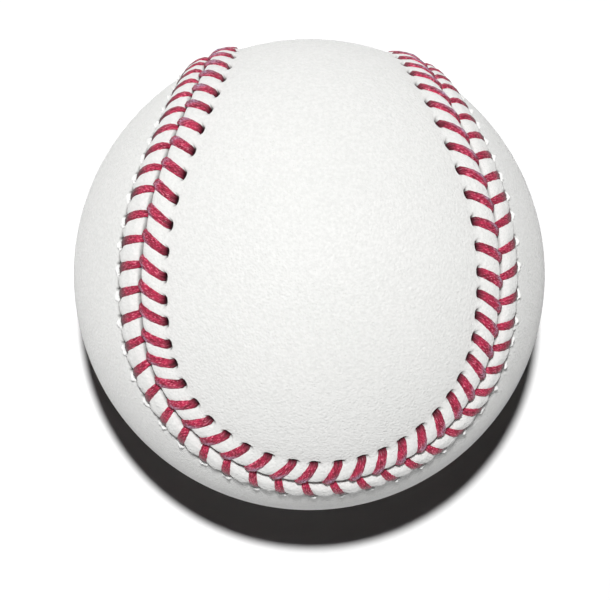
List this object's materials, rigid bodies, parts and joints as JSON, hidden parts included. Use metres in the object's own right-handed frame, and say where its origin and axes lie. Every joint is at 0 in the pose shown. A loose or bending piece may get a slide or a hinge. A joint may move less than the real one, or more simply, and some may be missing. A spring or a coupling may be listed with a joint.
{
  "type": "baseball",
  "caption": "Hand-sewn leather ball: cork core in rubber jackets, wound wool yarn and a two-piece white cover joined by a raised red-stitched seam.",
  "frame": {"origin": "centre of the ball", "axes": "+Z through a wide lobe of the front cover, +Y through the front cover's neck, +X through a wide lobe of the back cover"},
  "size_m": [0.074, 0.074, 0.074],
  "materials": {
    "cork": "pressed cork granules, matte",
    "black_rubber": "moulded, matte",
    "red_rubber": "moulded, matte",
    "grey_wool": "wound wool yarn",
    "white_wool": "wound wool yarn",
    "finishing_yarn": "wound fine cotton blend yarn",
    "cement": "dried latex film",
    "white_leather": "alum-tanned, fine grain, low sheen",
    "red_thread": "waxed cotton, low sheen"
  },
  "bodies": {
    "root": {"cork_core": "cork", "inner_shell_upper": "black_rubber", "inner_shell_lower": "black_rubber", "shell_gasket": "red_rubber", "outer_shell_upper": "red_rubber", "outer_shell_lower": "red_rubber", "first_wool_winding": "grey_wool", "second_wool_winding": "white_wool", "third_wool_winding": "grey_wool", "finishing_winding": "finishing_yarn", "cement_coat": "cement", "front_cover": "white_leather", "back_cover": "white_leather", "first_thread": "red_thread", "second_thread": "red_thread"}
  },
  "joints": []
}
